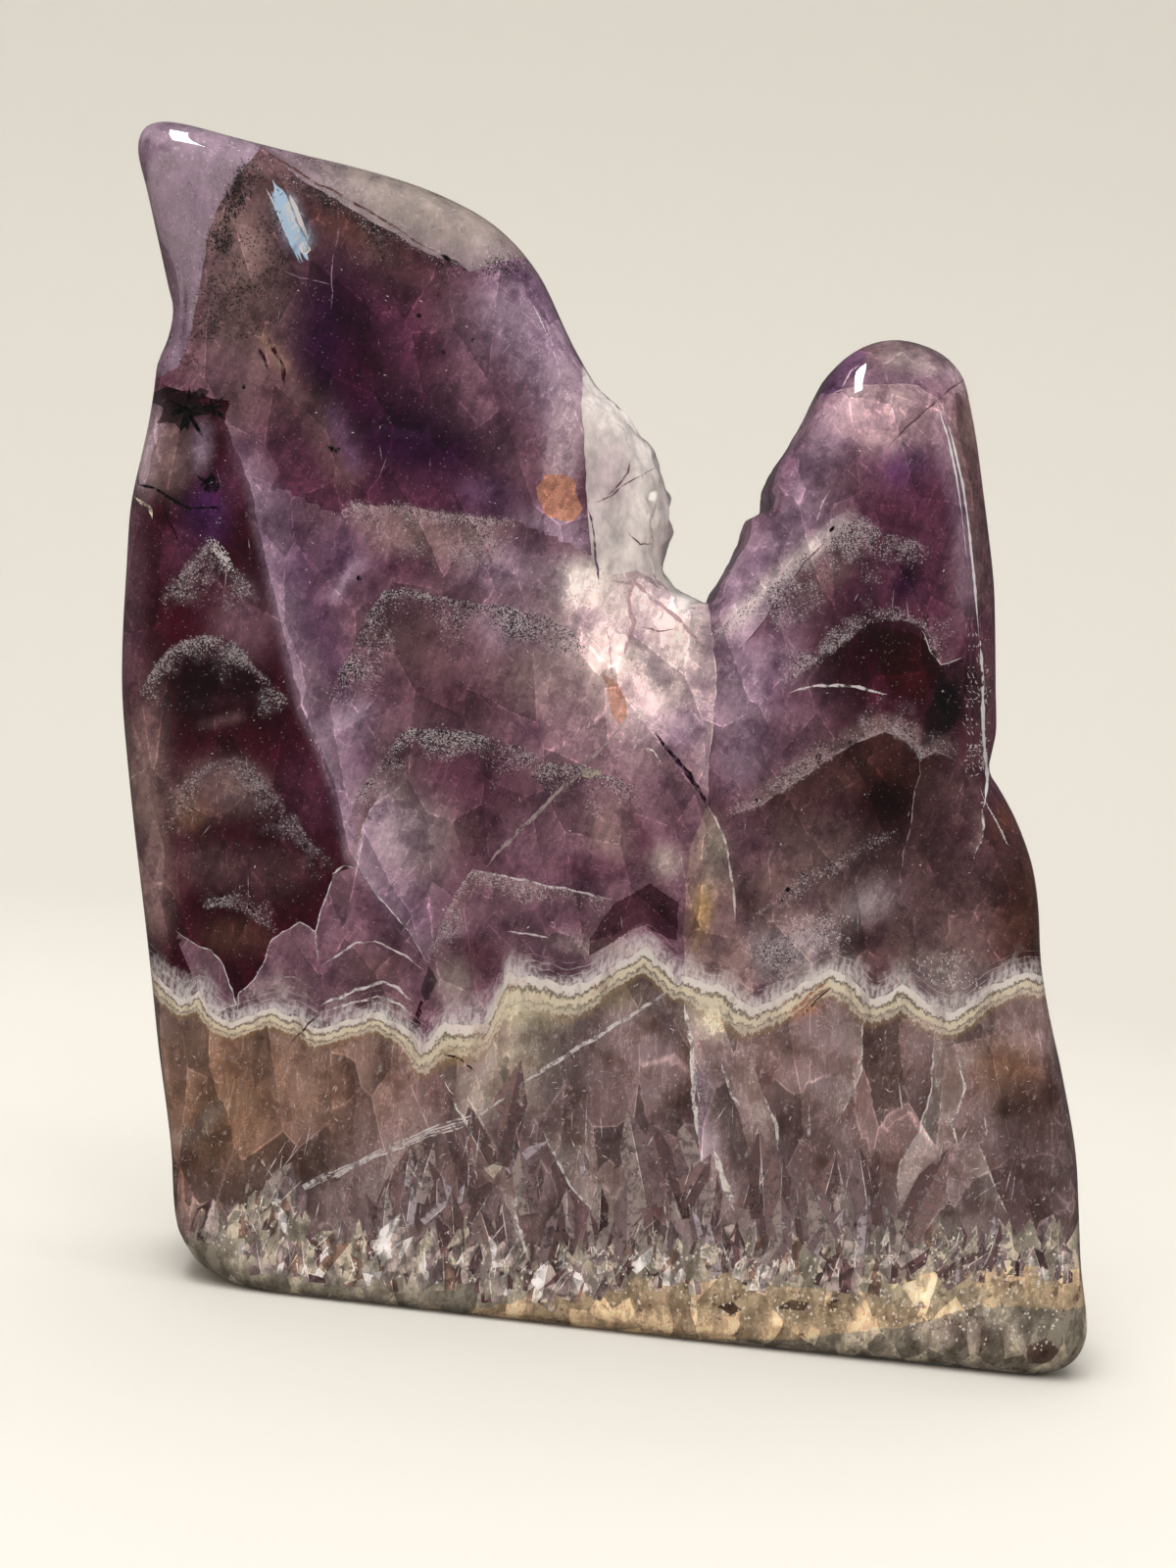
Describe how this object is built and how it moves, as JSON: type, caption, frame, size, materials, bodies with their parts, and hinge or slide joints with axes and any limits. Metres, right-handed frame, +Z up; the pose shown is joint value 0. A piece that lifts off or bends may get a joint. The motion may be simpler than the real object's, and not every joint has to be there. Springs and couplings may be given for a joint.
{
  "type": "polished amethyst slab",
  "caption": "Free-standing polished slab of banded purple amethyst with two crystal peaks, a deep V notch between them and a flat cut base.",
  "frame": {"origin": "under the middle of the slab's box, on the plane of its flat base", "axes": "+Z up through the peaks, the polished front face towards -Y, +X to the viewer's right"},
  "size_m": [0.0852, 0.018, 0.0902],
  "materials": {
    "amethyst": "polished, semi-transparent quartz"
  },
  "bodies": {
    "root": {"amethyst_slab": "amethyst"}
  },
  "joints": []
}
